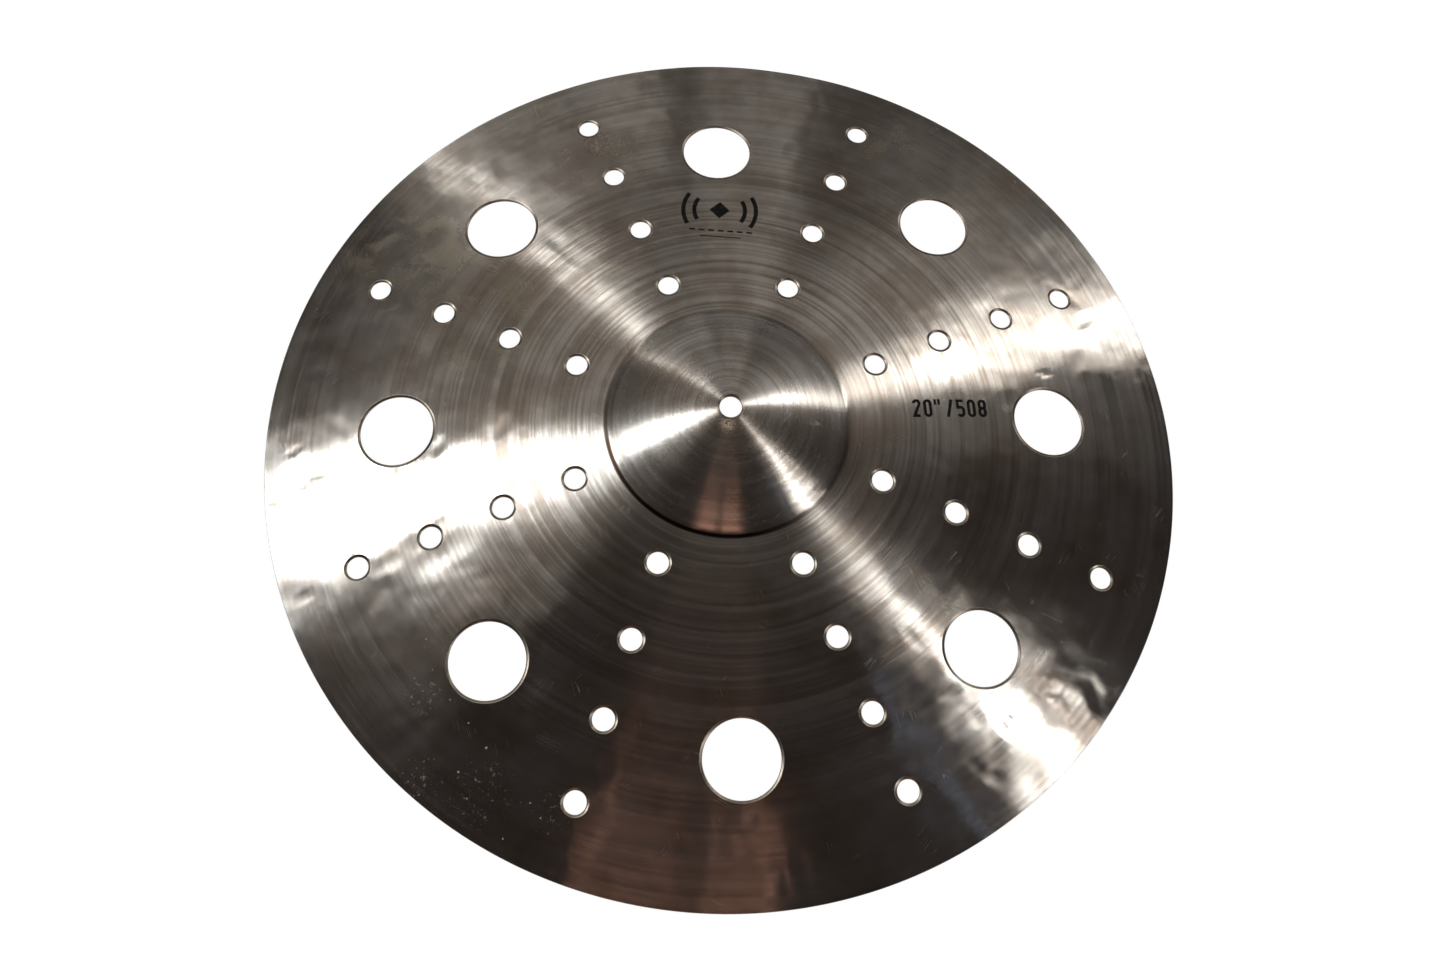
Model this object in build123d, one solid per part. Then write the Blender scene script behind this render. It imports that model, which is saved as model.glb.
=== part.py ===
from build123d import *
from math import asin, cos, degrees, radians, sin, sqrt
import os

# A crash cymbal: one beaten and turned bronze plate, pierced with large and small holes, with three ink
# prints on its bow. Millimetres, +Z up along the stand's rod. The cymbal lies on its rim with the bell
# up, and the origin is below its centre hole, level with the bottom of the rim.

# Bronze plate
cymbal_diameter = 508.0
bell_diameter = 132.0
bow_height = 20.0             # from the top of the rim up to the edge of the bell
bell_height = 17.0            # from the edge of the bell up to its crown
bell_thickness = 1.2
rim_thickness = 0.8
crease_radius = 8.0           # hollow round on top, where the bell meets the bow
rim_round = 0.3
centre_hole_diameter = 12.0

# Ring of large holes, one facing each way and one between each two
large_hole_count = 8
large_hole_diameter = 40.0
large_hole_rim_gap = 52.7     # metal between a large hole and the rim

# Rows of small holes that run outward between the large ones
row_count = large_hole_count
row_holes = 4
small_hole_diameter = 11.6
row_bell_gap = 18.2           # metal between a row's first hole and the bell
row_rim_gap = 32.2            # metal between its last hole and the rim
row_stray = {1: 3.0, 6: -4.0}     # rows drilled long or short: how far their last hole is off the ring
row_lean = (                  # first and last hole of each row, degrees off the line halfway between
    (1.1, 0.3),               # two large holes: the rows were marked out by eye
    (-1.7, -1.9),
    (-0.9, -0.5),
    (-1.9, -1.6),
    (-2.1, -1.4),
    (0.0, -2.0),
    (-1.1, -1.4),
    (-4.1, -0.2),
)

# Ink prints on the top of the bow
ink_thickness = 0.05
emblem_angle = 90.0           # the emblem and the dashes below it are on this radius
emblem_turn = -5.3            # they were stamped a little askew
emblem_height = 22.0
emblem_pen = 2.5
emblem_arc_radii = (15.0, 21.5)
emblem_lozenge = 8.4          # side
dash_count = 7
dash_width = 3.4
dash_height = 1.1
dash_pitch = 5.6
hairline_width = 24.0
hairline_height = 0.6
print_line_gap = 3.4          # between the emblem, the dashes and the hairline
emblem_share = 0.79           # share of the bare bow that is left on the bell's side of the emblem
size_angle = 3.0              # the size mark is on this radius and reads outward
size_turn = 1.0
size_share = 0.7              # share of the bare bow that is left on the bell's side of the size mark
digit_width = 4.9
digit_height = 10.8
digit_pen = 1.7
digit_gap = 1.4

# Heights and radii that follow from those sizes
rim_radius = cymbal_diameter / 2
bell_radius = bell_diameter / 2
bell_edge_level = rim_thickness + bow_height
crown_level = bell_edge_level + bell_height
large_ring_radius = rim_radius - large_hole_rim_gap - large_hole_diameter / 2
row_start_radius = bell_radius + row_bell_gap + small_hole_diameter / 2
row_end_radius = rim_radius - row_rim_gap - small_hole_diameter / 2
bare_bow = large_ring_radius - large_hole_diameter / 2 - bell_radius
cut_length = 4 * (bell_thickness + crease_radius)


def sphere_centre(inner, inner_level, outer, outer_level):
    """Height of the centre, on the axis, of the sphere through two rings of the plate."""
    rise = inner_level - outer_level
    return (inner**2 - outer**2 + rise**2) / (2 * rise) + outer_level


bow_centre = sphere_centre(bell_radius, bell_edge_level, rim_radius, rim_thickness)
bow_radius = sqrt(rim_radius**2 + (rim_thickness - bow_centre) ** 2)


def on_sphere(radius, centre, ring):
    """The height of a sphere's top at a ring around the axis."""
    return centre + sqrt(radius**2 - ring**2)


def dome_arc(inner, inner_level, outer, outer_level):
    """Arc of the section between two rings, on a sphere centred on the axis."""
    centre = sphere_centre(inner, inner_level, outer, outer_level)
    radius = sqrt(outer**2 + (outer_level - centre) ** 2)
    middle = (inner + outer) / 2
    start = (inner, 0, inner_level)
    return ThreePointArc(start, (middle, 0, on_sphere(radius, centre, middle)), (outer, 0, outer_level))


def plate_section():
    """Half of the plate's section: bell dome, crease and bow, thinner towards the rim."""
    upper_bell = dome_arc(0, crown_level, bell_radius, bell_edge_level)
    upper_bow = dome_arc(bell_radius, bell_edge_level, rim_radius, rim_thickness)
    under_edge_level = bell_edge_level - bell_thickness
    under_bow = dome_arc(bell_radius, under_edge_level, rim_radius, 0)
    under_bell = dome_arc(0, crown_level - bell_thickness, bell_radius, under_edge_level)
    rim = Line((rim_radius, 0, rim_thickness), (rim_radius, 0, 0))
    axis = Line((0, 0, crown_level), (0, 0, crown_level - bell_thickness))
    section = make_face([upper_bell, upper_bow, rim, under_bow, under_bell, axis])
    rounds = (
        (bell_radius, bell_edge_level, crease_radius),
        (bell_radius, under_edge_level, crease_radius + bell_thickness),
        (rim_radius, rim_thickness, rim_round),
        (rim_radius, 0, rim_round),
    )
    for ring, level, radius in rounds:
        corner = section.vertices().sort_by_distance((ring, 0, level))[0]
        section = fillet(corner, radius)
    return section


def hole_cutter(x, y, diameter):
    """A cylinder square to the bow's surface at x, y."""
    level = on_sphere(bow_radius, bow_centre, sqrt(x**2 + y**2))
    square = Plane(origin=(x, y, level), z_dir=(x, y, level - bow_centre))
    return square * Cylinder(diameter / 2, cut_length)


def large_holes():
    step = 360 / large_hole_count
    cutters = []
    for place in range(large_hole_count):
        angle = radians(270 + place * step)
        x = large_ring_radius * cos(angle)
        y = large_ring_radius * sin(angle)
        cutters.append(hole_cutter(x, y, large_hole_diameter))
    return cutters


def small_holes():
    """Each row is straight: its holes are spaced evenly from its first to its last."""
    step = 360 / row_count
    cutters = []
    for row, (first_lean, last_lean) in enumerate(row_lean):
        halfway = 270 + (row + 0.5) * step
        first_angle = radians(halfway + first_lean)
        last_angle = radians(halfway + last_lean)
        end_radius = row_end_radius + row_stray.get(row, 0)
        first = Vector(cos(first_angle), sin(first_angle)) * row_start_radius
        last = Vector(cos(last_angle), sin(last_angle)) * end_radius
        for hole in range(row_holes):
            spot = first + (last - first) * (hole / (row_holes - 1))
            cutters.append(hole_cutter(spot.X, spot.Y, small_hole_diameter))
    return cutters


def cymbal_plate():
    plate = revolve(plate_section(), Axis.Z)
    centre_hole = Pos(0, 0, crown_level) * Cylinder(centre_hole_diameter / 2, cut_length)
    return plate - [centre_hole, *large_holes(), *small_holes()]


def printed(outlines, radius, angle, turn):
    """Ink on the bow: flat outlines, set at a radius and angle, as a film on the bow's sphere."""
    x = radius * cos(radians(angle))
    y = radius * sin(radians(angle))
    film = Sphere(bow_radius + ink_thickness) - Sphere(bow_radius)
    film = Pos(0, 0, bow_centre) * film
    place = Pos(x, y, 0) * Rot(0, 0, turn)
    marks = []
    for outline in outlines:
        marks += (extrude(place * outline, crown_level) & film).solids()
    return Compound(marks)


def stroke(*lines, pen):
    return trace(Curve() + list(lines), pen)


def emblem_outlines():
    """A lozenge between two pairs of arcs that spread like sound."""
    outlines = [Rot(0, 0, 45) * Rectangle(emblem_lozenge, emblem_lozenge)]
    half_spread = degrees(asin(emblem_height / 2 / max(emblem_arc_radii)))
    for radius in emblem_arc_radii:
        for facing in (0, 180):
            arc = CenterArc((0, 0), radius, facing - half_spread, 2 * half_spread)
            outlines.append(stroke(arc, pen=emblem_pen))
    return outlines


def dash_outlines():
    """A row of dashes with a hairline under it."""
    outlines = []
    first = -dash_pitch * (dash_count - 1) / 2
    for place in range(dash_count):
        outlines.append(Pos(first + place * dash_pitch, 0) * Rectangle(dash_width, dash_height))
    drop = print_line_gap + (dash_height + hairline_height) / 2
    outlines.append(Pos(0, -drop) * Rectangle(hairline_width, hairline_height))
    return outlines


def digit_two(width, height):
    bend = width / 2
    arc = CenterArc((0, height / 2 - bend), bend, 180, -210)
    slant = Line(arc @ 1, (-bend, -height / 2))
    foot = Line((-bend, -height / 2), (bend, -height / 2))
    return stroke(arc, slant, foot, pen=digit_pen)


def digit_zero(width, height):
    """An upright ring: its rounds are a hair under half its width, so that its sides are never points."""
    outer = width + digit_pen
    inner = width - digit_pen
    ring = RectangleRounded(outer, height + digit_pen, outer * 0.495)
    return ring - RectangleRounded(inner, height - digit_pen, inner * 0.495)


def digit_five(width, height):
    bend = width / 2
    top = height / 2
    shelf_level = height * 0.06
    bar = Line((bend, top), (-bend, top))
    back = Line((-bend, top), (-bend, shelf_level))
    shelf = Line((-bend, shelf_level), (0, shelf_level))
    shoulder = CenterArc((0, shelf_level - bend), bend, 90, -90)
    side = Line((bend, shelf_level - bend), (bend, bend - top))
    foot = CenterArc((0, bend - top), bend, 0, -160)
    return stroke(bar, back, shelf, shoulder, side, foot, pen=digit_pen)


def digit_eight(width, height):
    loop = digit_zero(width, height / 2)
    return (Pos(0, height / 4) * loop) + (Pos(0, -height / 4) * loop)


def size_outlines():
    """The diameter in inches, a slash, and the diameter in millimetres."""
    width = digit_width - digit_pen
    height = digit_height - digit_pen
    pitch = digit_width + digit_gap
    tick_height = digit_height * 0.3
    tick = Rectangle(digit_pen * 0.8, tick_height)
    tick_level = (digit_height - tick_height) / 2
    slash = Rot(0, 0, -14) * Rectangle(digit_pen, digit_height)
    return [
        Pos(-3 * pitch, 0) * digit_two(width, height),
        Pos(-2 * pitch, 0) * digit_zero(width, height),
        Pos(-1.3 * pitch, tick_level) * tick,
        Pos(-0.95 * pitch, tick_level) * tick,
        slash,
        Pos(1 * pitch, 0) * digit_five(width, height),
        Pos(2 * pitch, 0) * digit_zero(width, height),
        Pos(3 * pitch, 0) * digit_eight(width, height),
    ]


def prints():
    """The three prints, placed on the bare bow between the bell and two of the large holes."""
    stack = emblem_height + 2 * print_line_gap + dash_height + hairline_height
    dash_from_foot = hairline_height + print_line_gap + dash_height / 2
    foot = bell_radius + emblem_share * (bare_bow - stack)
    size_length = 7 * digit_width + 6 * digit_gap
    size_radius = bell_radius + size_share * (bare_bow - size_length) + size_length / 2
    emblem_radius = foot + stack - emblem_height / 2
    return {
        "emblem_print": printed(emblem_outlines(), emblem_radius, emblem_angle, emblem_turn),
        "dash_print": printed(dash_outlines(), foot + dash_from_foot, emblem_angle, emblem_turn),
        "size_print": printed(size_outlines(), size_radius, size_angle, size_turn),
    }


nodes = {"cymbal_plate": cymbal_plate(), **prints()}
os.makedirs("parts", exist_ok=True)
for name, shape in nodes.items():
    export_step(shape, f"parts/{name}.step")
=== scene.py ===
import bmesh
import bpy
import numpy as np
from math import atan2, cos, hypot, pi, radians, sin, sqrt, tan
from mathutils import Matrix, Vector
from mathutils.geometry import delaunay_2d_cdt


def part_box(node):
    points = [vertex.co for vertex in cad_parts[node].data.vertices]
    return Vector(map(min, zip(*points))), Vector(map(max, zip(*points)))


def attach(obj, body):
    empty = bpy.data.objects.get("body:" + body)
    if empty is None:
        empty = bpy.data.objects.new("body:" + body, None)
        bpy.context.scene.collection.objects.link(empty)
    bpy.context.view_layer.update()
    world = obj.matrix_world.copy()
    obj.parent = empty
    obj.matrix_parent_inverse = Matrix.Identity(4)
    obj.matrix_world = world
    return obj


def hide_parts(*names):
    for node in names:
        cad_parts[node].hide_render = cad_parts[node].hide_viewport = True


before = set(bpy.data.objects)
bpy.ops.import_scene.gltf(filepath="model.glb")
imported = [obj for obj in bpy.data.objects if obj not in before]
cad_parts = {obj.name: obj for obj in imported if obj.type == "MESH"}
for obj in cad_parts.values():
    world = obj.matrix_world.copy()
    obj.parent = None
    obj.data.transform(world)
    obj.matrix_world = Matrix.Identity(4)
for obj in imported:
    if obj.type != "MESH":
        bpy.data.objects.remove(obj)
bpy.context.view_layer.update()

scene = bpy.context.scene
mm = 0.001
print("frame loaded:", sorted(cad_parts))


def hexColour(text):
    # sRGB hex to the linear values that shaders take
    channels = [int(text[i:i + 2], 16) / 255 for i in (1, 3, 5)]
    linear = [c / 12.92 if c <= 0.04045 else ((c + 0.055) / 1.055) ** 2.4 for c in channels]
    return (*linear, 1.0)


def addNode(tree, kind, inputs=None, **settings):
    # an input is a plain value, a socket, or a node whose first output is meant
    node = tree.nodes.new(kind)
    for name, value in settings.items():
        setattr(node, name, value)
    for name, value in (inputs or {}).items():
        if isinstance(value, bpy.types.Node):
            value = value.outputs[0]
        if isinstance(value, bpy.types.NodeSocket):
            tree.links.new(value, node.inputs[name])
        else:
            node.inputs[name].default_value = value
    return node


def newMaterial(name):
    material = bpy.data.materials.new(name)
    material.use_nodes = True
    material.node_tree.nodes.clear()
    return material, material.node_tree


def placed(bearing, height, turn, distance, aim=(0, 0, 0)):
    # seen from the aim: degrees round from +X, degrees up, and turned about the line to it
    bearing, height, turn = radians(bearing), radians(height), radians(turn)
    away = Vector((cos(height) * cos(bearing), cos(height) * sin(bearing), sin(height)))
    across = Vector((-sin(bearing), cos(bearing), 0))
    upward = away.cross(across)
    right = across * cos(turn) + upward * sin(turn)
    top = upward * cos(turn) - across * sin(turn)
    turned = Matrix((right, top, away)).transposed().to_4x4()
    return Matrix.Translation(Vector(aim) + away * distance) @ turned


# Camera: in front of the cymbal and high above it, tipped a little to one side

rimThickness = 0.8 * mm

cameraSet = {
    "aim": (-3.6 * mm, -28.9 * mm, rimThickness),    # level with the top of the rim
    "bearing": 260.07,                     # degrees round from +X
    "height": 69.33,                       # degrees above the floor
    "distance": 646.5 * mm,
    "roll": 8.36,
    "lens": 29.05,                         # on a sensor 36 mm wide
    "farthest": 50,                        # metres that it sees
}

camera = bpy.data.objects.new("camera", bpy.data.cameras.new("camera"))
camera.data.lens = cameraSet["lens"]
camera.data.clip_end = cameraSet["farthest"]
cameraPlace = [cameraSet[name] for name in ("bearing", "height", "roll", "distance", "aim")]
camera.matrix_world = placed(*cameraPlace)
scene.collection.objects.link(camera)
scene.camera = camera
print("camera placed")


# Section of the plate: bell and bow are spheres, with a hollow round between them

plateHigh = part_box("cymbal_plate")[1]
plateSet = {
    "rim": plateHigh[0],
    "bell": 66 * mm,
    "bowHeight": 20 * mm,
    "bellHeight": 17 * mm,
    "bellThickness": 1.2 * mm,
    "rimThickness": rimThickness,
    "hollow": 8 * mm,
    "rimRound": 0.3 * mm,
    "easing": 1.5 * mm,                # how far the deburring tool cuts back the edge of each hole
    "easingDrop": 0.38 * mm,
    # profiles of the edges: share of the way out, share of the drop, lean of the surface in degrees
    "holeEdge": ((0.08, 0.05, 14), (0.66, 0.62, 22), (0.92, 0.88, 50), (1.0, 1.0, 90)),
    "rimEdge": ((0.38, 0.08, 22), (0.71, 0.29, 45), (1.0, 1.0, 90)),
    "segments": 288,                   # round the bell
    "doubling": 112 * mm,              # beyond this radius there are twice as many
    "topStep": 2.4 * mm,               # between rings of the mesh
    "underStep": 4.8 * mm,
    "hollowStep": 0.8 * mm,
    "hollowRings": 5,                  # that close together, on each side of the bell's edge
    "largeHolePoints": 80,
    "smallHolePoints": 48,
    "largeHoleOver": 10 * mm,          # radius
    "clearing": 1.1,                   # mesh steps cleared round a hole before it is let in
    # places on the UV map, as shares of its height: each side's strip, the second one's start, the walls
    "sideStrip": 0.475,
    "underStart": 0.485,
    "wallStart": 0.97,
}


def sphereThrough(inner, innerLevel, outer, outerLevel):
    rise = innerLevel - outerLevel
    centre = (inner ** 2 - outer ** 2 + rise ** 2) / (2 * rise) + outerLevel
    return centre, sqrt(outer ** 2 + (outerLevel - centre) ** 2)


class Section:
    # height of one side of the plate at a radius
    def __init__(self, crown, edge, rimLevel, hollow):
        bell, rim = plateSet["bell"], plateSet["rim"]
        self.bellCentre, self.bellRadius = sphereThrough(0, crown, bell, edge)
        self.bowCentre, self.bowRadius = sphereThrough(bell, edge, rim, rimLevel)
        self.hollow = hollow
        toBell = self.bellRadius + hollow
        toBow = self.bowRadius + hollow
        gap = self.bowCentre - self.bellCentre
        squares = toBell ** 2 - toBow ** 2 + self.bowCentre ** 2 - self.bellCentre ** 2
        self.level = squares / (2 * gap)
        self.ring = sqrt(toBell ** 2 - (self.level - self.bellCentre) ** 2)
        self.start = self.ring * self.bellRadius / toBell
        self.end = self.ring * self.bowRadius / toBow

    def height(self, radius):
        bell = self.bellCentre + np.sqrt(np.maximum(self.bellRadius ** 2 - radius ** 2, 0))
        bow = self.bowCentre + np.sqrt(self.bowRadius ** 2 - radius ** 2)
        hollow = self.level - np.sqrt(np.maximum(self.hollow ** 2 - (radius - self.ring) ** 2, 0))
        return np.where(radius < self.start, bell, np.where(radius < self.end, hollow, bow))


bellEdge = plateSet["rimThickness"] + plateSet["bowHeight"]
crown = bellEdge + plateSet["bellHeight"]
thick = plateSet["bellThickness"]
topSide = Section(crown, bellEdge, plateSet["rimThickness"], plateSet["hollow"])
underSide = Section(crown - thick, bellEdge - thick, 0, plateSet["hollow"] + thick)


# Beating: hammer dents and slow waves, as a height map that is read between its points

beatSet = {
    "seed": 20,
    "half": 260 * mm,
    "step": 0.65 * mm,
    "ringGap": 11 * mm,                # between the circles that the hammer follows
    "firstRing": 12 * mm,              # outside the bell's edge
    "lastRing": 4 * mm,                # outside the rim
    "blowGap": 14 * mm,
    "blowUneven": 0.3,                 # of the gap
    "blowSize": (4 * mm, 11 * mm),
    "blowSlope": 0.0045,               # how steep the side of a usual dent is
    "blowSpread": 0.55,
    "blowReach": 1.4,                  # sizes out from its middle that a dent is drawn
    "blowStray": 3 * mm,               # off the circle
    "blowStretch": (0.6, 1.6),
    "blowTurn": 0.6,
    "waves": ((0.007, 45 * mm), (0.005, 17 * mm)),    # slope and length of each
    "waveShare": 2.5,                  # length of a wave over the blur that makes it
    "calm": (66 * mm, 165 * mm),       # the beating fades in between these radii
    # where it is heavier: degrees round from +X, radius, reach, how many times heavier
    "heavier": (
        (-44, 215 * mm, 60 * mm, 0.6),
        (190, 215 * mm, 60 * mm, 0.9),
        (140, 190 * mm, 60 * mm, 0.5),
        (-98, 215 * mm, 50 * mm, 0.7),
        (22, 215 * mm, 50 * mm, 0.2),
    ),
    # stray blows: degrees round from +X, radius, size, slope, stretch, turned by
    "strays": (
        (-56.5, 232 * mm, 5 * mm, 0.020, 1.2, 20),
        (-43.3, 221 * mm, 7 * mm, 0.006, 1.4, -30),
        (-42.1, 238 * mm, 9 * mm, 0.005, 1.3, -40),
        (-53.4, 153 * mm, 7 * mm, 0.006, 1.6, -50),
    ),
}


def softField(random, count, size):
    # noise of about that size, in steps of the map, with a spread of one
    waves = np.fft.rfft2(random.standard_normal((count, count)))
    rows = np.fft.fftfreq(count)[:, None]
    columns = np.fft.rfftfreq(count)[None, :]
    keep = np.exp(-2 * (pi * size / beatSet["waveShare"]) ** 2 * (rows ** 2 + columns ** 2))
    field = np.fft.irfft2(waves * keep, (count, count))
    return field / field.std()


def beatenMap():
    random = np.random.default_rng(beatSet["seed"])
    count = int(2 * beatSet["half"] / beatSet["step"]) + 1
    line = np.linspace(-beatSet["half"], beatSet["half"], count)
    step = line[1] - line[0]
    height = np.zeros((count, count))
    steepest = 1.54                        # side of a dent that is one deep and one across

    def dent(bearing, radius, size, slope, stretch, turn):
        x, y = radius * cos(bearing), radius * sin(bearing)
        columns = np.where(abs(line - x) < size * beatSet["blowReach"])[0]
        rows = np.where(abs(line - y) < size * beatSet["blowReach"])[0]
        if len(columns) and len(rows):
            dx = line[columns][None, :] - x
            dy = line[rows][:, None] - y
            along = (dx * cos(turn) + dy * sin(turn)) / stretch
            across = (dy * cos(turn) - dx * sin(turn)) * stretch
            nearness = np.clip(1 - (along ** 2 + across ** 2) / size ** 2, 0, 1)
            height[np.ix_(rows, columns)] -= slope * size / steepest * nearness ** 2

    first, last = plateSet["bell"] + beatSet["firstRing"], plateSet["rim"] + beatSet["lastRing"]
    uneven = beatSet["blowUneven"]
    for ring in np.arange(first, last, beatSet["ringGap"]):
        blows = int(2 * pi * ring / beatSet["blowGap"])
        for place in range(blows):
            bearing = 2 * pi * (place + random.uniform(-uneven, uneven)) / blows
            radius = ring + random.normal(0, beatSet["blowStray"])
            size = random.uniform(*beatSet["blowSize"])
            slope = beatSet["blowSlope"] * random.lognormal(0, beatSet["blowSpread"])
            stretch = random.uniform(*beatSet["blowStretch"])
            dent(bearing, radius, size, slope, stretch, bearing + random.normal(0, beatSet["blowTurn"]))
    for slope, length in beatSet["waves"]:
        height += slope * length / beatSet["waveShare"] * softField(random, count, length / step)
    acrossMap, upMap = np.meshgrid(line, line)
    heavier = np.ones((count, count))
    for bearing, radius, reach, gain in beatSet["heavier"]:
        x, y = radius * cos(radians(bearing)), radius * sin(radians(bearing))
        heavier += gain * np.exp(-((acrossMap - x) ** 2 + (upMap - y) ** 2) / reach ** 2)
    start, end = beatSet["calm"]
    fade = np.clip((np.hypot(acrossMap, upMap) - start) / (end - start), 0, 1)
    height *= heavier * fade * fade * (3 - 2 * fade)
    for bearing, radius, size, slope, stretch, turn in beatSet["strays"]:
        dent(radians(bearing), radius, size, slope, stretch, radians(turn))
    slopeY, slopeX = np.gradient(height, step)
    return line, (height, slopeX, slopeY)


mapLine, mapLayers = beatenMap()
print("beaten map:", len(mapLine), "points across, relief", round(np.ptp(mapLayers[0]) / mm, 3), "mm")


def readMap(layer, x, y):
    # layer 0 is the height, 1 and 2 its slopes along X and Y
    step = mapLine[1] - mapLine[0]
    column = np.clip((x - mapLine[0]) / step, 0, len(mapLine) - 1.001)
    row = np.clip((y - mapLine[0]) / step, 0, len(mapLine) - 1.001)
    c, r = column.astype(int), row.astype(int)
    u, v = column - c, row - r
    values = mapLayers[layer]
    lower = values[r, c] * (1 - u) + values[r, c + 1] * u
    upper = values[r + 1, c] * (1 - u) + values[r + 1, c + 1] * u
    return lower * (1 - v) + upper * v


def beatenSide(section, x, y):
    # points and upward normals of one side of the plate
    radius = np.hypot(x, y)
    probe = 0.02 * mm
    slope = (section.height(radius + probe) - section.height(radius - probe)) / (2 * probe)
    outward = np.stack([x, y], 1) / np.maximum(radius, probe)[:, None]
    points = np.column_stack([x, y, section.height(radius) + readMap(0, x, y)])
    lean = np.column_stack([readMap(1, x, y), readMap(2, x, y)]) + slope[:, None] * outward
    normals = np.column_stack([-lean, np.ones(len(x))])
    return points, normals / np.linalg.norm(normals, axis=1)[:, None]


# Holes: read from the upright walls of the CAD plate

samePoint = 0.002 * mm                     # points this close are one


def readHoles():
    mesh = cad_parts["cymbal_plate"].data
    points = np.array([v.co for v in mesh.vertices])
    firstAt = {}
    spots = np.round(points / samePoint).astype(int)
    weld = [firstAt.setdefault(tuple(spot), i) for i, spot in enumerate(spots)]
    parent = list(range(len(points)))
    edgeZone, upright = 5 * mm, 0.6

    def root(i):
        while parent[i] != i:
            parent[i] = parent[parent[i]]
            i = parent[i]
        return i

    wall = set()
    for face in mesh.polygons:
        inside = hypot(face.center.x, face.center.y) < plateSet["rim"] - edgeZone
        if inside and abs(face.normal.z) < upright:
            corners = [weld[i] for i in face.vertices]
            wall.update(corners)
            for corner in corners[1:]:
                parent[root(corners[0])] = root(corner)
    groups = {}
    for i in sorted(wall):
        groups.setdefault(root(i), []).append(points[i])
    holes = []
    for group in map(np.array, groups.values()):
        middle = (group.min(0) + group.max(0)) / 2
        radius = np.hypot(*(group - middle)[:, :2].T).max()
        holes.append((middle[0], middle[1], radius))
    return sorted(holes, key=lambda hole: (hypot(hole[0], hole[1]), atan2(hole[1], hole[0])))


holes = readHoles()
bore, drilledHoles = holes[0], holes[1:]
print("holes:", len(holes))


# Mesh of the plate: rings of four-sided faces, with the holes let into them

def evenly(start, end, step):
    return list(np.linspace(start, end, max(1, round((end - start) / step)) + 1))


def polarCells(step):
    # the rings' points, and the cells between them: five-cornered where the segments double
    inner = bore[2] + plateSet["easing"]
    crease, doubling = plateSet["bell"], plateSet["doubling"]
    around = plateSet["hollowRings"] * plateSet["hollowStep"]
    radii = evenly(inner, crease - around, step)
    radii += evenly(crease - around, crease + around, plateSet["hollowStep"])[1:]
    radii += evenly(crease + around, doubling, step)[1:]
    radii += evenly(doubling, plateSet["rim"] - plateSet["rimRound"], step)[1:]
    rings = []
    points = []
    for radius in radii:
        count = plateSet["segments"] * (1 if radius < doubling + step / 2 else 2)
        rings.append([len(points) + i for i in range(count)])
        for i in range(count):
            angle = 2 * pi * i / count
            points.append((radius * cos(angle), radius * sin(angle)))
    cells = []
    for ring, outer in zip(rings, rings[1:]):
        for i in range(len(ring)):
            ends = (ring[i], ring[(i + 1) % len(ring)])
            if len(outer) == len(ring):
                cells.append((ends[0], outer[i], outer[(i + 1) % len(outer)], ends[1]))
            else:
                middle = (outer[2 * i], outer[2 * i + 1], outer[(2 * i + 2) % len(outer)])
                cells.append((ends[0], *middle, ends[1]))
    return points, cells, rings


def outlineOf(cells):
    # the points round the outside of a patch of cells, in order
    edges = {}
    for cell in cells:
        for a, b in zip(cell, cell[1:] + cell[:1]):
            edges[a, b] = True
    ahead = {a: b for a, b in edges if (b, a) not in edges}
    start = min(ahead)
    outline = [start]
    while ahead[outline[-1]] != start:
        outline.append(ahead[outline[-1]])
    return outline


def flatSide(step):
    # one side seen flat: its points and faces, and the loops round its holes and its rim
    points, cells, rings = polarCells(step)
    middles = np.array([np.mean([points[i] for i in cell], 0) for cell in cells])
    taken = set()
    faces = []
    loops = [(bore, rings[0])]
    for hole in drilledHoles:
        x, y, radius = hole
        edge = radius + plateSet["easing"]
        gaps = np.hypot(middles[:, 0] - x, middles[:, 1] - y)
        near = np.where(gaps < edge + plateSet["clearing"] * step)[0]
        taken.update(near)
        outline = outlineOf([cells[i] for i in near])
        count = plateSet["largeHolePoints" if radius > plateSet["largeHoleOver"] else "smallHolePoints"]
        loop = [len(points) + i for i in range(count)]
        for i in range(count):
            angle = 2 * pi * i / count
            points.append((x + edge * cos(angle), y + edge * sin(angle)))
        loops.append((hole, loop))
        local = outline + loop
        borders = [(i, (i + 1) % len(outline)) for i in range(len(outline))]
        borders += [(len(outline) + i, len(outline) + (i + 1) % count) for i in range(count)]
        corners = [Vector(points[i]) / mm for i in local]
        insideOnly, closeness = 1, 1e-6
        made = delaunay_2d_cdt(corners, borders, [], insideOnly, closeness)
        for triangle in made[2]:
            picked = [local[made[3][i][0]] for i in triangle]
            if not all(i in loop for i in picked):
                faces.append(tuple(picked))
    faces += [cell for i, cell in enumerate(cells) if i not in taken]
    return np.array(points), faces, loops, rings[-1]


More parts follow.
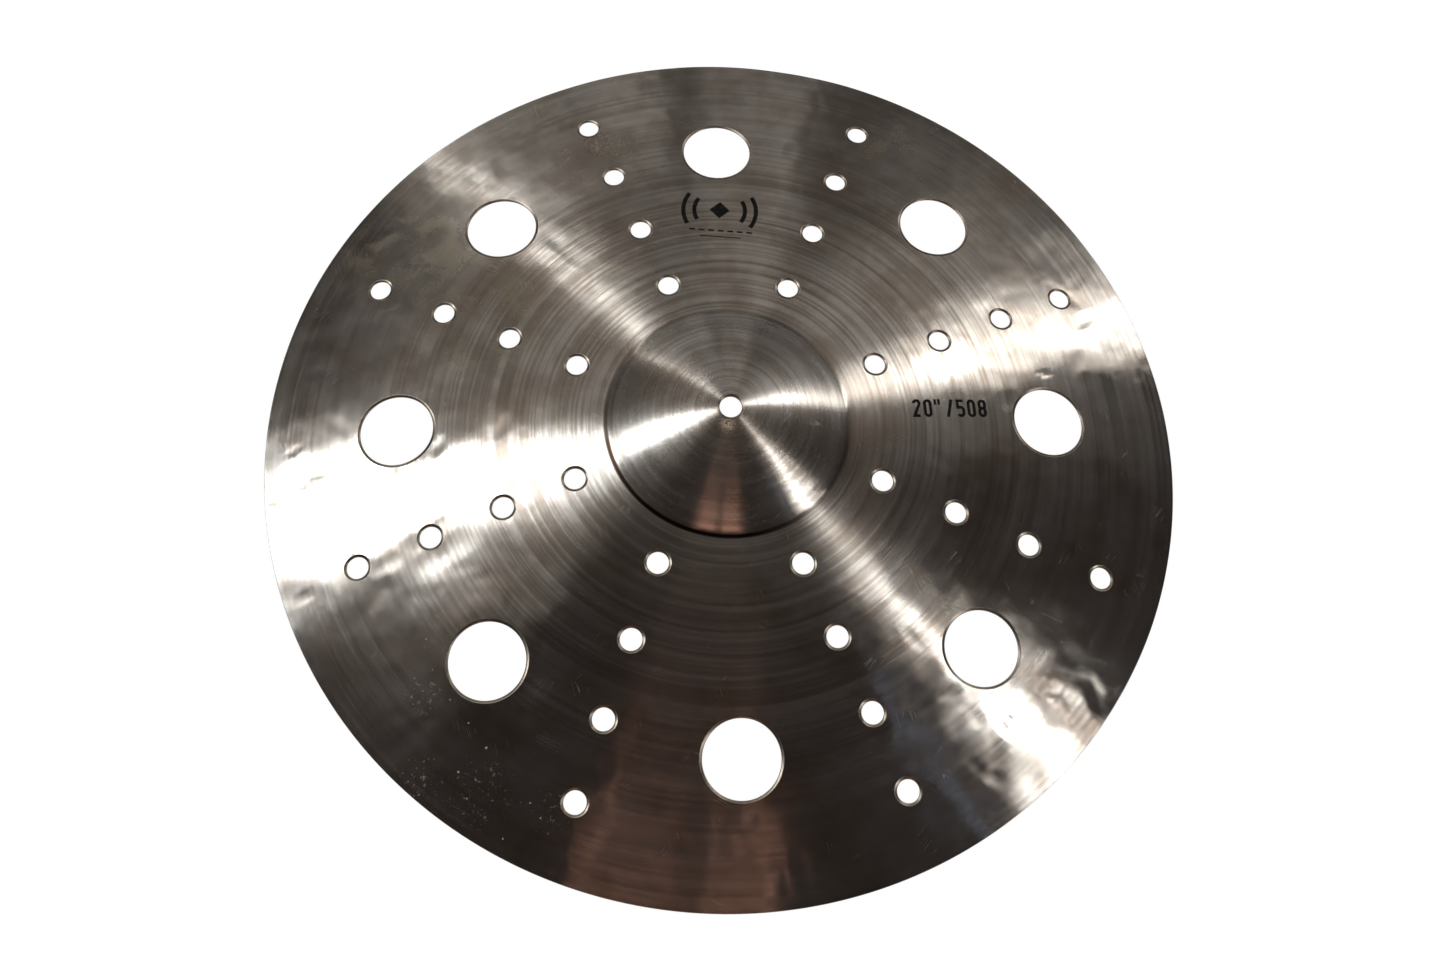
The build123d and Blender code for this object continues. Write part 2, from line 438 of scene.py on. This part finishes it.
def buildPlate():
    topFlat, topFaces, topLoops, topRim = flatSide(plateSet["topStep"])
    underFlat, underFaces, underLoops, underRim = flatSide(plateSet["underStep"])
    topPoints, topNormals = beatenSide(topSide, *topFlat.T)
    underPoints, underNormals = beatenSide(underSide, *underFlat.T)
    points, normals = [topPoints, underPoints], [topNormals, -underNormals]
    base = len(topPoints)
    faces = topFaces + [tuple(base + i for i in reversed(face)) for face in underFaces]
    total = base + len(underPoints)
    walls = []

    def addWall(upper, lower, middle, easing, sign, profile):
        # eased from the top, straight down, and eased again underneath
        nonlocal total
        rings = []
        for loop, rows, up in ((upper, topPoints, 1), (lower, underPoints, -1)):
            edge = rows[loop]
            out = edge[:, :2] - middle
            out = sign * out / np.linalg.norm(out, axis=1)[:, None]
            made = []
            for share, fall, lean in profile:
                flat = edge[:, :2] + out * easing * share
                level = edge[:, 2] - up * plateSet["easingDrop"] * fall
                lean = radians(lean)
                points.append(np.column_stack([flat, level]))
                normals.append(np.column_stack([out * sin(lean), np.full(len(loop), up * cos(lean))]))
                made.append([total + i for i in range(len(loop))])
                total += len(loop)
            rings.append(made)
        order = [upper, *rings[0], *reversed(rings[1]), [base + i for i in lower]]
        for above, below in zip(order, order[1:]):
            for i in range(len(above)):
                j = (i + 1) % len(above)
                face = (above[i], below[i], below[j], above[j])
                walls.append(face if sign > 0 else face[::-1])

    addWall(topRim, underRim, np.zeros(2), plateSet["rimRound"], 1, plateSet["rimEdge"])
    for (hole, upper), (_, lower) in zip(topLoops, underLoops):
        addWall(upper, lower, np.array(hole[:2]), plateSet["easing"], -1, plateSet["holeEdge"])
    return np.concatenate(points), np.concatenate(normals), faces, walls, base


def unwrapPlate(mesh, sideFaces, base):
    # a strip for each side, angle across and radius up, and a narrow one for all the walls
    layer = mesh.uv_layers.new(name="OFBake")
    rim = plateSet["rim"]
    for number, face in enumerate(mesh.polygons):
        spots = [mesh.vertices[i].co for i in face.vertices]
        turns = [atan2(p.y, p.x) / (2 * pi) % 1 for p in spots]
        if max(turns) - min(turns) > 0.5:
            turns = [t + 1 if t < 0.5 else t for t in turns]
            turns = [min(t, 1) for t in turns]
        for place, (turn, spot) in enumerate(zip(turns, spots)):
            radius = hypot(spot.x, spot.y) / rim
            if number >= sideFaces:
                up = plateSet["wallStart"] + (1 - plateSet["wallStart"]) * spot.z / crown
            elif face.vertices[0] < base:
                up = plateSet["sideStrip"] * radius
            else:
                up = plateSet["underStart"] + plateSet["sideStrip"] * radius
            layer.data[face.loop_start + place].uv = (turn, up)


points, normals, faces, walls, base = buildPlate()
mesh = bpy.data.meshes.new("beaten_plate")
mesh.from_pydata(points.tolist(), [], faces + walls)
mesh.validate()
mesh.update()
unwrapPlate(mesh, len(faces), base)
mesh.polygons.foreach_set("use_smooth", [True] * len(mesh.polygons))
mesh.normals_split_custom_set([tuple(normals[loop.vertex_index]) for loop in mesh.loops])
plate = bpy.data.objects.new("beaten_plate", mesh)
scene.collection.objects.link(plate)
triangles = sum(len(face) - 2 for face in faces + walls)
print("plate:", len(points), "points,", triangles, "triangles")


# Prints: each CAD film follows the beaten surface

inkSet = {
    "refine": 2 * mm,                      # between the cuts that let a film bend
    "onCut": 0.0001 * mm,                  # points this near a cut lie on it
    "lift": 0.01 * mm,
    "black": "#0b0a09",
    "worn": "#4a453e",
    "wornFrom": (0.60, 0.70),              # heights of the grain where it begins to wear and is worn off
    "grain": 1.11 * mm,
    "roughness": 0.7,
    "shine": 0.25,
}


def laidPrint(node, name):
    film = bmesh.new()
    film.from_mesh(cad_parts[node].data)
    bmesh.ops.remove_doubles(film, verts=film.verts, dist=samePoint)
    low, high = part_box(node)
    for axis in (0, 1):
        normal = (1, 0, 0) if axis == 0 else (0, 1, 0)
        for place in evenly(low[axis], high[axis], inkSet["refine"])[1:-1]:
            spot = (place, 0, 0) if axis == 0 else (0, place, 0)
            everything = film.verts[:] + film.edges[:] + film.faces[:]
            cut = {"plane_co": spot, "plane_no": normal, "dist": inkSet["onCut"]}
            bmesh.ops.bisect_plane(film, geom=everything, **cut)
    bmesh.ops.remove_doubles(film, verts=film.verts, dist=samePoint)
    x = np.array([v.co.x for v in film.verts])
    y = np.array([v.co.y for v in film.verts])
    rises = readMap(0, x, y) + inkSet["lift"]
    for vertex, rise in zip(film.verts, rises):
        vertex.co.z += rise
    mesh = bpy.data.meshes.new(name)
    film.to_mesh(mesh)
    film.free()
    piece = bpy.data.objects.new(name, mesh)
    scene.collection.objects.link(piece)
    return piece


printNodes = ("emblem_print", "dash_print", "size_print")
prints = {node: laidPrint(node, node.replace("print", "ink")) for node in printNodes}
print("prints laid:", {node: len(piece.data.polygons) for node, piece in prints.items()})


# B20 bell bronze, hammered, then turned on a lathe: the tool leaves fine rings, so light spreads
# across them and stays narrow along them, in fans that point at the centre

bronzeSet = {
    "metal": "#dedad4",
    "bell": "#f0ece6",
    "shade": "#aaa299",
    "brown": "#9c8570",
    "stain": "#d9cfb4",
    # colour of the painted shade in the crease round the bell
    "creaseShadeColour": "#3a2e25",
    "residue": "#f1e0c8",
    "dust": "#d8cfc2",
    "bellRoughness": 0.06,             # added on the bell
    "mottleRoughness": 0.05,
    "stainRoughness": 0.32,
    "dirtRoughness": 0.4,
    "anisotropic": 1.0,
    "turn": 0.25,                      # anisotropic rotation that puts the rings along the lathe's cut
    # streaks of the lathe's cut: width in mm, length as a share of the circle, and where the noise
    # starts; the real cut is 0.3 mm, too fine to show, so it is drawn coarser
    "rings": (1.7, 0.40, 0),
    "chatter": (2.2, 0.12, 700),
    "bands": (3.6, 0.30, 40),
    "ringDepth": 0.02 * mm,
    "chatterDepth": 0.03 * mm,
    # patterns: size in mm, detail, roughness, distortion
    "mottle": (28.57, 5.0, 0.62, 0.0),
    "smudge": (50.0, 4.0, 0.60, 0.0),
    "cloud": (25.0, 5.0, 0.58, 0.8),
    "fleck": (1.111, 4.0, 0.70, 0.0),
    "crumb": (2.857, 6.0, 0.70, 0.0),
    "grain": 4.545,                    # mm between specks of dust
    # where marks lie: degrees round from +X, radius and reach in mm
    "stains": ((143, 214, 45), (151, 212, 45), (156, 150, 45), (108, 194, 16), (60, 225, 35)),
    "dusty": ((236, 228, 55), (224, 205, 50)),
    "dustElsewhere": 0.12,
    "scuffed": ((236, 233, 24), (229, 246, 18), (245, 224, 16), (222, 216, 14)),
    "polished": ((258, 10, 7),),
    "smeared": ((110.6, 201, 12),),
    # the ring of painted shade in the crease: its radius, where it is darkest, and how dark it is elsewhere
    "creaseRadius": 67.3,              # mm
    "creased": ((235, 70, 120),),
    "creaseElsewhere": 0.2,
    "spotCore": 0.2,                   # share of a spot's reach within which it is full
    # scratches: turned by, in radians, where the noise starts, size of their patches in mm
    "scratches": ((0.5, 3.0, 30.3), (1.3, 9.0, 25.6), (2.3, 17.0, 21.3)),
    "scratchStretch": (0.012, 0.35, 1),    # threads about 80 mm long and 3 mm apart
    "scratchShows": 0.3,
    "scratchDulls": 0.6,
    "scuffShows": 0.6,
    "residueCovers": 0.7,
    "toneLeast": 0.4,
    # where a mask begins and is full, in its pattern's height, then its ends if they aren't 0 and 1
    "clouded": (0.38, 0.80),
    "flecked": (0.44, 0.52),
    "specked": (0.45, 1.0, 0.0, 0.15),
    "crumbled": (0.57, 0.68),
    "rubbed": (0.50, 0.60),
    "thread": (0.008, 0.002),
    "broken": (0.65, 0.74),
    "toned": (0.36, 0.64),
    "uneven": (0.3, 0.6, 0.5, 1.0),
    "shaded": (0.45, 0.7, 0.0, 0.5),
    "smudged": (0.4, 0.7, 0.0, 0.5),
    "streaked": (0.33, 0.67, 0.155, 0.205),    # its ends are the metal's roughness
    "worn": (0.35, 0.75),
    "bare": (0.0, 1.0, 1.0, 0.0),
    # the same in mm from the centre, or from the crease
    "onBell": (67, 63),
    "inCrease": (1.7, 0.6),
    "onBow": (62, 74, 0.4, 1.0),
    "inward": (200, 150, 0.0, 0.6),
    "cutFades": (50, 110, 0.12, 1.0),
    "chatterFades": (60, 130),
}


def bronzeMaterial():
    material, tree = newMaterial("bell bronze, hammered and turned")
    place = addNode(tree, "ShaderNodeTexCoord")
    # flat and in mm, so that both sides carry the same marks
    flatten = {0: place.outputs["Object"], 1: (1000, 1000, 0)}
    inMm = addNode(tree, "ShaderNodeVectorMath", flatten, operation="MULTIPLY")
    radius = addNode(tree, "ShaderNodeVectorMath", {0: inMm}, operation="LENGTH").outputs["Value"]
    unit = addNode(tree, "ShaderNodeVectorMath", {0: inMm}, operation="NORMALIZE")
    eased = {"interpolation_type": "SMOOTHSTEP"}
    multiply = {"operation": "MULTIPLY"}
    # the first input times the second, plus the third, and no more than 1
    gather = {"operation": "MULTIPLY_ADD", "use_clamp": True}

    def fromTo(name):
        low, high, start, end = (*bronzeSet[name], 0.0, 1.0)[:4]
        return {"From Min": low, "From Max": high, "To Min": start, "To Max": end}

    def ringNoise(name):
        width, length, start = bronzeSet[name]
        circle = {0: unit, "Scale": 1 / (2 * pi * length)}
        around = addNode(tree, "ShaderNodeVectorMath", circle, operation="SCALE")
        outward = addNode(tree, "ShaderNodeMath", {0: radius, 1: 1 / width}, **multiply)
        shifted = addNode(tree, "ShaderNodeMath", {0: outward, 1: start}, operation="ADD")
        spread = addNode(tree, "ShaderNodeCombineXYZ", {"Z": shifted})
        polar = addNode(tree, "ShaderNodeVectorMath", {0: around, 1: spread}, operation="ADD")
        look = {"Scale": 1.0, "Detail": 1.0, "Roughness": 0.6}
        return addNode(tree, "ShaderNodeTexNoise", {"Vector": polar, **look})

    def nearSpots(spots, elsewhere=0.0):
        # full near the middle of a spot, and nothing at its reach
        total = elsewhere
        for bearing, distance, reach in spots:
            middle = (distance * cos(radians(bearing)), distance * sin(radians(bearing)), 0)
            gap = addNode(tree, "ShaderNodeVectorMath", {0: inMm, 1: middle}, operation="DISTANCE")
            core = reach * bronzeSet["spotCore"]
            near = {"Value": gap.outputs["Value"], "From Min": reach, "From Max": core}
            near = addNode(tree, "ShaderNodeMapRange", near, **eased)
            total = addNode(tree, "ShaderNodeMath", {0: near, 1: 1.0, 2: total}, **gather)
        return total

    rings = ringNoise("rings")
    chatter = ringNoise("chatter")
    bands = ringNoise("bands")
    patterns = []
    for name in ("mottle", "smudge", "cloud", "fleck", "crumb"):
        size, detail, roughness, distortion = bronzeSet[name]
        look = {"Scale": 1 / size, "Detail": detail, "Roughness": roughness, "Distortion": distortion}
        patterns.append(addNode(tree, "ShaderNodeTexNoise", {"Vector": inMm, **look}))
    mottle, smudge, cloud, fleck, crumb = patterns
    onBell = addNode(tree, "ShaderNodeMapRange", {"Value": radius, **fromTo("onBell")}, **eased)

    # stains, cloudy and dull
    clouded = addNode(tree, "ShaderNodeMapRange", {"Value": cloud, **fromTo("clouded")}, **eased)
    stained = addNode(tree, "ShaderNodeMath", {0: nearSpots(bronzeSet["stains"]), 1: clouded}, **multiply)

    # painted shade: a dark ring in the crease round the bell, darkest on one side; and polish left round
    # the bore
    creaseGap = {0: radius, 1: bronzeSet["creaseRadius"]}
    creaseGap = addNode(tree, "ShaderNodeMath", creaseGap, operation="SUBTRACT")
    creaseGap = addNode(tree, "ShaderNodeMath", {0: creaseGap}, operation="ABSOLUTE")
    inCrease = {"Value": creaseGap, **fromTo("inCrease")}
    inCrease = addNode(tree, "ShaderNodeMapRange", inCrease, **eased)
    creased = nearSpots(bronzeSet["creased"], bronzeSet["creaseElsewhere"])
    creaseShade = addNode(tree, "ShaderNodeMath", {0: inCrease, 1: creased}, **multiply)
    flecked = addNode(tree, "ShaderNodeMapRange", {"Value": fleck, **fromTo("flecked")}, **eased)
    residue = addNode(tree, "ShaderNodeMath", {0: nearSpots(bronzeSet["polished"]), 1: flecked}, **multiply)

    # dust: small specks, thick in one place and thin elsewhere
    grains = addNode(tree, "ShaderNodeTexVoronoi", {"Vector": inMm, "Scale": 1 / bronzeSet["grain"]})
    chance = addNode(tree, "ShaderNodeSeparateColor", {0: grains.outputs["Color"]})
    speckSize = addNode(tree, "ShaderNodeMapRange", {"Value": chance, **fromTo("specked")}, **eased)
    dusty = nearSpots(bronzeSet["dusty"], bronzeSet["dustElsewhere"])
    reach = addNode(tree, "ShaderNodeMath", {0: speckSize, 1: dusty}, **multiply)
    speck = {0: grains.outputs["Distance"], 1: reach}
    speck = addNode(tree, "ShaderNodeMath", speck, operation="LESS_THAN")

    # scuffs: crumbs of dirt rubbed along near the rim, and one smear behind the emblem
    crumbs = addNode(tree, "ShaderNodeMapRange", {"Value": crumb, **fromTo("crumbled")}, **eased)
    scuffs = addNode(tree, "ShaderNodeMath", {0: nearSpots(bronzeSet["scuffed"]), 1: crumbs}, **multiply)
    smeared = addNode(tree, "ShaderNodeMapRange", {"Value": crumb, **fromTo("rubbed")}, **eased)
    smear = addNode(tree, "ShaderNodeMath", {0: nearSpots(bronzeSet["smeared"]), 1: smeared}, **multiply)

    # scratches: long thin threads in three directions, broken up
    scratched = 0.0
    for turn, start, patchSize in bronzeSet["scratches"]:
        turned = {"Vector": inMm, "Angle": turn}
        turned = addNode(tree, "ShaderNodeVectorRotate", turned, rotation_type="Z_AXIS")
        along = {0: turned, 1: bronzeSet["scratchStretch"], 2: (start, 0, 0)}
        along = addNode(tree, "ShaderNodeVectorMath", along, operation="MULTIPLY_ADD")
        look = {"Scale": 1.0, "Detail": 0.0, "Distortion": 0.25}
        thread = addNode(tree, "ShaderNodeTexNoise", {"Vector": along, **look})
        middle = addNode(tree, "ShaderNodeMath", {0: thread, 1: 0.5}, operation="SUBTRACT")
        middle = addNode(tree, "ShaderNodeMath", {0: middle}, operation="ABSOLUTE")
        thin = addNode(tree, "ShaderNodeMapRange", {"Value": middle, **fromTo("thread")}, **eased)
        patch = addNode(tree, "ShaderNodeTexNoise", {"Vector": inMm, "Scale": 1 / patchSize, "Detail": 2.0})
        kept = addNode(tree, "ShaderNodeMapRange", {"Value": patch, **fromTo("broken")}, **eased)
        scratched = addNode(tree, "ShaderNodeMath", {0: thin, 1: kept, 2: scratched}, **gather)

    # streaks show on the bow, and fade on the bell and towards the rim
    both = addNode(tree, "ShaderNodeMix", {0: 0.5, 2: rings, 3: bands})
    tone = addNode(tree, "ShaderNodeMapRange", {"Value": both, **fromTo("toned")}, **eased)
    onBow = addNode(tree, "ShaderNodeMapRange", {"Value": radius, **fromTo("onBow")}, **eased)
    inward = addNode(tree, "ShaderNodeMapRange", {"Value": radius, **fromTo("inward")}, **eased)
    seen = addNode(tree, "ShaderNodeMath", {0: onBow, 1: inward, 2: bronzeSet["toneLeast"]}, **gather)
    uneven = addNode(tree, "ShaderNodeMapRange", {"Value": mottle, **fromTo("uneven")}, **eased)
    for share in (seen, uneven):
        tone = addNode(tree, "ShaderNodeMath", {0: tone, 1: share}, **multiply)

    dirt = speck
    marks = residue
    shows = ((scratched, bronzeSet["scratchShows"]), (scuffs, bronzeSet["scuffShows"]))
    dulls = ((speck, 1.0), (scuffs, 1.0), (smear, 1.0), (scratched, bronzeSet["scratchDulls"]))
    for mark, weight in shows:
        dirt = addNode(tree, "ShaderNodeMath", {0: mark, 1: weight, 2: dirt}, **gather)
    for mark, weight in dulls:
        marks = addNode(tree, "ShaderNodeMath", {0: mark, 1: weight, 2: marks}, **gather)
    pale = addNode(tree, "ShaderNodeMath", {0: residue, 1: smear}, operation="ADD", use_clamp=True)
    shaded = addNode(tree, "ShaderNodeMapRange", {"Value": mottle, **fromTo("shaded")}, **eased)
    smudged = addNode(tree, "ShaderNodeMapRange", {"Value": smudge, **fromTo("smudged")}, **eased)

    # from the metal up: each layer's share and colour
    layers = (
        (onBell, "bell"),
        (tone, "shade"),
        (shaded, "shade"),
        (smudged, "brown"),
        (stained, "stain"),
        # painted shade in the crease round the bell
        (creaseShade, "creaseShadeColour"),
        (pale, "residue"),
        (dirt, "dust"),
    )
    colour = hexColour(bronzeSet["metal"])
    for share, layer in layers:
        mixed = {0: share, 6: colour, 7: hexColour(bronzeSet[layer])}
        colour = addNode(tree, "ShaderNodeMix", mixed, data_type="RGBA").outputs[2]

    streaks = addNode(tree, "ShaderNodeMix", {0: 0.5, 2: chatter, 3: rings})
    rough = addNode(tree, "ShaderNodeMapRange", {"Value": streaks, **fromTo("streaked")}, **eased)
    worn = addNode(tree, "ShaderNodeMapRange", {"Value": mottle, **fromTo("worn")}, **eased)
    duller = (
        (worn, "mottleRoughness"),
        (stained, "stainRoughness"),
        (onBell, "bellRoughness"),
        (marks, "dirtRoughness"),
    )
    for share, name in duller:
        rough = addNode(tree, "ShaderNodeMath", {0: share, 1: bronzeSet[name], 2: rough}, **gather)

    # dirt isn't metal
    covered = {0: residue, 1: bronzeSet["residueCovers"], 2: dirt}
    covered = addNode(tree, "ShaderNodeMath", covered, **gather)
    bare = addNode(tree, "ShaderNodeMapRange", {"Value": covered, **fromTo("bare")}, **eased)

    # the cut and its chatter are fainter on the bell, which is turned smoother
    cutShare = addNode(tree, "ShaderNodeMapRange", {"Value": radius, **fromTo("cutFades")}, **eased)
    cut = addNode(tree, "ShaderNodeMath", {0: rings, 1: cutShare}, **multiply)
    cutBump = {"Height": cut, "Distance": bronzeSet["ringDepth"], "Strength": 1.0}
    cutBump = addNode(tree, "ShaderNodeBump", cutBump)
    ripple = addNode(tree, "ShaderNodeMapRange", {"Value": radius, **fromTo("chatterFades")}, **eased)
    ripple = addNode(tree, "ShaderNodeMath", {0: chatter, 1: ripple}, **multiply)
    bump = {"Height": ripple, "Distance": bronzeSet["chatterDepth"], "Strength": 1.0, "Normal": cutBump}
    bump = addNode(tree, "ShaderNodeBump", bump)
    lathe = addNode(tree, "ShaderNodeTangent", direction_type="RADIAL", axis="Z")
    shader = addNode(tree, "ShaderNodeBsdfPrincipled", {
        "Base Color": colour,
        "Metallic": bare,
        "Roughness": rough,
        "Anisotropic": bronzeSet["anisotropic"],
        "Anisotropic Rotation": bronzeSet["turn"],
        "Tangent": lathe,
        "Normal": bump,
    })
    addNode(tree, "ShaderNodeOutputMaterial", {"Surface": shader})
    return material


# Rubber-stamped ink: matt black, thin enough to break up into specks of bare metal

def inkMaterial():
    material, tree = newMaterial("stamped ink, matt black")
    place = addNode(tree, "ShaderNodeTexCoord")
    grain = addNode(tree, "ShaderNodeTexNoise", {
        "Vector": place.outputs["Object"],
        "Scale": 1 / inkSet["grain"],
        "Detail": 3.0,
    })
    low, high = inkSet["wornFrom"]
    worn = addNode(tree, "ShaderNodeMapRange", {"Value": grain, "From Min": low, "From Max": high})
    colours = {6: hexColour(inkSet["black"]), 7: hexColour(inkSet["worn"])}
    colour = addNode(tree, "ShaderNodeMix", {0: worn, **colours}, data_type="RGBA")
    shader = addNode(tree, "ShaderNodeBsdfPrincipled", {
        "Base Color": colour.outputs[2],
        "Roughness": inkSet["roughness"],
        "Specular IOR Level": inkSet["shine"],
    })
    addNode(tree, "ShaderNodeOutputMaterial", {"Surface": shader})
    return material


# Sheared and filed edges of the same bronze: duller than the faces, and darker with painted shade, for the
# dark outline round each hole and round the rim

shadedEdgeSet = {
    # painted shade: both edge colours are darker than the faces, mottled by nicks
    "dark": "#857b6f",
    "light": "#beb3a5",
    "nick": 1.43 * mm,
    "roughness": 0.28,
}


def shadedEdgeMaterial():
    material, tree = newMaterial("bell bronze, sheared edge with painted shade")
    place = addNode(tree, "ShaderNodeTexCoord")
    nicks = addNode(tree, "ShaderNodeTexNoise", {
        "Vector": place.outputs["Object"],
        "Scale": 1 / shadedEdgeSet["nick"],
        "Detail": 3.0,
    })
    colours = {6: hexColour(shadedEdgeSet["dark"]), 7: hexColour(shadedEdgeSet["light"])}
    colour = addNode(tree, "ShaderNodeMix", {0: nicks, **colours}, data_type="RGBA")
    shader = addNode(tree, "ShaderNodeBsdfPrincipled", {
        "Base Color": colour.outputs[2],
        "Metallic": 1.0,
        "Roughness": shadedEdgeSet["roughness"],
    })
    addNode(tree, "ShaderNodeOutputMaterial", {"Surface": shader})
    return material


plate.data.materials.append(bronzeMaterial())
plate.data.materials.append(shadedEdgeMaterial())
# the eased edges and walls of the holes and the rim take the painted shade
for face in mesh.polygons[len(faces):]:
    face.material_index = 1
ink = inkMaterial()
for piece in prints.values():
    piece.data.materials.append(ink)
print("materials done")


# Studio: a white floor and backdrop that glow evenly, and panels of light all round, which the
# turned metal draws out into fans

studioSet = {
    "reach": 1.4,                          # metres from the middle of the floor to each panel
    "floor": 3.0,                          # half its width, and the height of the backdrop
    "floorLevel": -0.5 * mm,               # just under the dents at the rim
    "backdropSides": 48,
    "room": "#2b2624",
    "panels": (
        # degrees round from +X, degrees up, half size across, half size up, turned by, strength, colour
        ("left window", 160.5, 50.9, 4.9, 12.5, 29.9, 0.4200, (0.99, 1.0, 1.005)),
        ("left window top", 134.4, 65.1, 3.9, 8.5, 52.3, 0.1600, (0.99, 1.0, 1.005)),
        ("right strip", 39.8, 41.5, 2.4, 18.0, -28.2, 0.2000, (1.04, 1.0, 0.95)),
        ("front right strip", -26.0, 47.0, 1.5, 20.0, -27.0, 0.2000, (1.03, 1.0, 0.97)),
        ("front right strip top", 6.2, 68.7, 1.4, 13.0, -55.2, 0.0360, (1.03, 1.0, 0.97)),
        ("front right pane", -20.5, 46.0, 2.4, 15.0, -30.0, 0.0280, (1.03, 1.0, 0.97)),
        ("front right edge", -17.0, 45.5, 0.3, 11.0, -35.0, 0.0450, (1.03, 1.0, 0.97)),
        ("back strip", 110.8, 43.0, 0.5, 22.0, 25.0, 0.0530, (1.03, 1.0, 0.96)),
        ("back pane", 82.5, 38.0, 4.8, 22.0, 0.0, 0.0140, (1.06, 1.0, 0.93)),
        ("back wide pane", 88.0, 36.0, 10.0, 20.0, 0.0, 0.0140, (1.06, 1.0, 0.93)),
        ("back panel", 133.0, 60.0, 19.0, 14.0, 14.0, 0.0860, (1.06, 1.0, 0.92)),
        ("back low panel", 108.0, 29.0, 14.0, 8.0, 0.0, 0.0300, (1.06, 1.0, 0.92)),
        ("right panel", 62.1, 54.1, 8.0, 19.0, -35.2, 0.0500, (1.06, 1.0, 0.92)),
        ("right haze", 35.1, 53.5, 3.2, 10.0, -26.0, 0.0040, (1.05, 1.0, 0.93)),
        ("right low panel", 64.0, 33.0, 12.0, 7.0, 0.0, 0.0080, (1.06, 1.0, 0.92)),
        ("brown glow", -96.0, 42.0, 13.5, 7.0, 0.0, 0.0220, (1.7, 0.88, 0.62)),
        ("brown glow left column", -104.5, 42.0, 4.5, 7.0, 0.0, 0.0160, (1.7, 0.88, 0.62)),
        ("brown glow right column", -87.0, 42.0, 4.5, 7.0, 0.0, 0.0180, (1.7, 0.88, 0.62)),
        ("brown glow middle", -90.0, 64.0, 1.2, 4.0, 0.0, 0.0004, (1.5, 1.0, 0.8)),
        ("bell strip", -33.0, 41.0, 3.2, 6.0, -24.0, 0.0850, (1.03, 1.0, 0.97)),
        ("brown glow left", 243.5, 65.5, 1.2, 5.0, 0.0, 0.0012, (1.7, 0.85, 0.6)),
        ("brown glow right", -75.0, 64.0, 0.6, 5.0, 0.0, 0.0012, (1.7, 0.85, 0.6)),
        ("blue glow", -33.4, 60.0, 0.5, 10.0, -20.0, 0.0016, (0.8, 1.0, 1.4)),
    ),
}


def addPanel(name, bearing, height, halfAcross, halfUp, turn, strength, colour):
    reach = studioSet["reach"]
    panel = bpy.data.objects.new(name, bpy.data.lights.new(name, "AREA"))
    panel.data.shape = "RECTANGLE"
    panel.data.size = 2 * reach * tan(radians(halfAcross))
    panel.data.size_y = 2 * reach * tan(radians(halfUp))
    panel.data.energy = strength * pi * reach ** 2
    panel.data.color = colour
    panel.matrix_world = placed(bearing, height, turn, reach)
    panel.visible_camera = False
    scene.collection.objects.link(panel)


for settings in studioSet["panels"]:
    addPanel(*settings)
print("panels of light:", len(studioSet["panels"]))

white, tree = newMaterial("white sweep")
glow = addNode(tree, "ShaderNodeEmission", {"Color": (1, 1, 1, 1), "Strength": 1.0})
addNode(tree, "ShaderNodeOutputMaterial", {"Surface": glow})

floorMesh = bpy.data.meshes.new("floor")
wide, level = studioSet["floor"], studioSet["floorLevel"]
corners = [(-wide, -wide, level), (wide, -wide, level), (wide, wide, level), (-wide, wide, level)]
floorMesh.from_pydata(corners, [], [(0, 1, 2, 3)])
floor = bpy.data.objects.new("floor", floorMesh)
wallMesh = bpy.data.meshes.new("backdrop")
sides = studioSet["backdropSides"]
turns = [2 * pi * i / sides for i in range(sides)]
wallPoints = [(wide * cos(turn), wide * sin(turn), up) for up in (level, wide) for turn in turns]
wallFaces = [((i + 1) % sides, i, i + sides, (i + 1) % sides + sides) for i in range(sides)]
wallMesh.from_pydata(wallPoints, [], wallFaces)
backdrop = bpy.data.objects.new("backdrop", wallMesh)
for piece in (floor, backdrop):
    piece.data.materials.append(white)
    scene.collection.objects.link(piece)
backdrop.visible_glossy = False
backdrop.visible_diffuse = False

world = bpy.data.worlds.new("dim room")
world.use_nodes = True
world.node_tree.nodes.clear()
room = addNode(world.node_tree, "ShaderNodeBackground", {
    "Color": hexColour(studioSet["room"]),
    "Strength": 1.0,
})
addNode(world.node_tree, "ShaderNodeOutputWorld", {"Surface": room})
scene.world = world
scene.view_settings.view_transform = "Standard"
print("studio done")


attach(plate, "root")
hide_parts("cymbal_plate")
for node, piece in prints.items():
    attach(piece, "root")
    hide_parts(node)
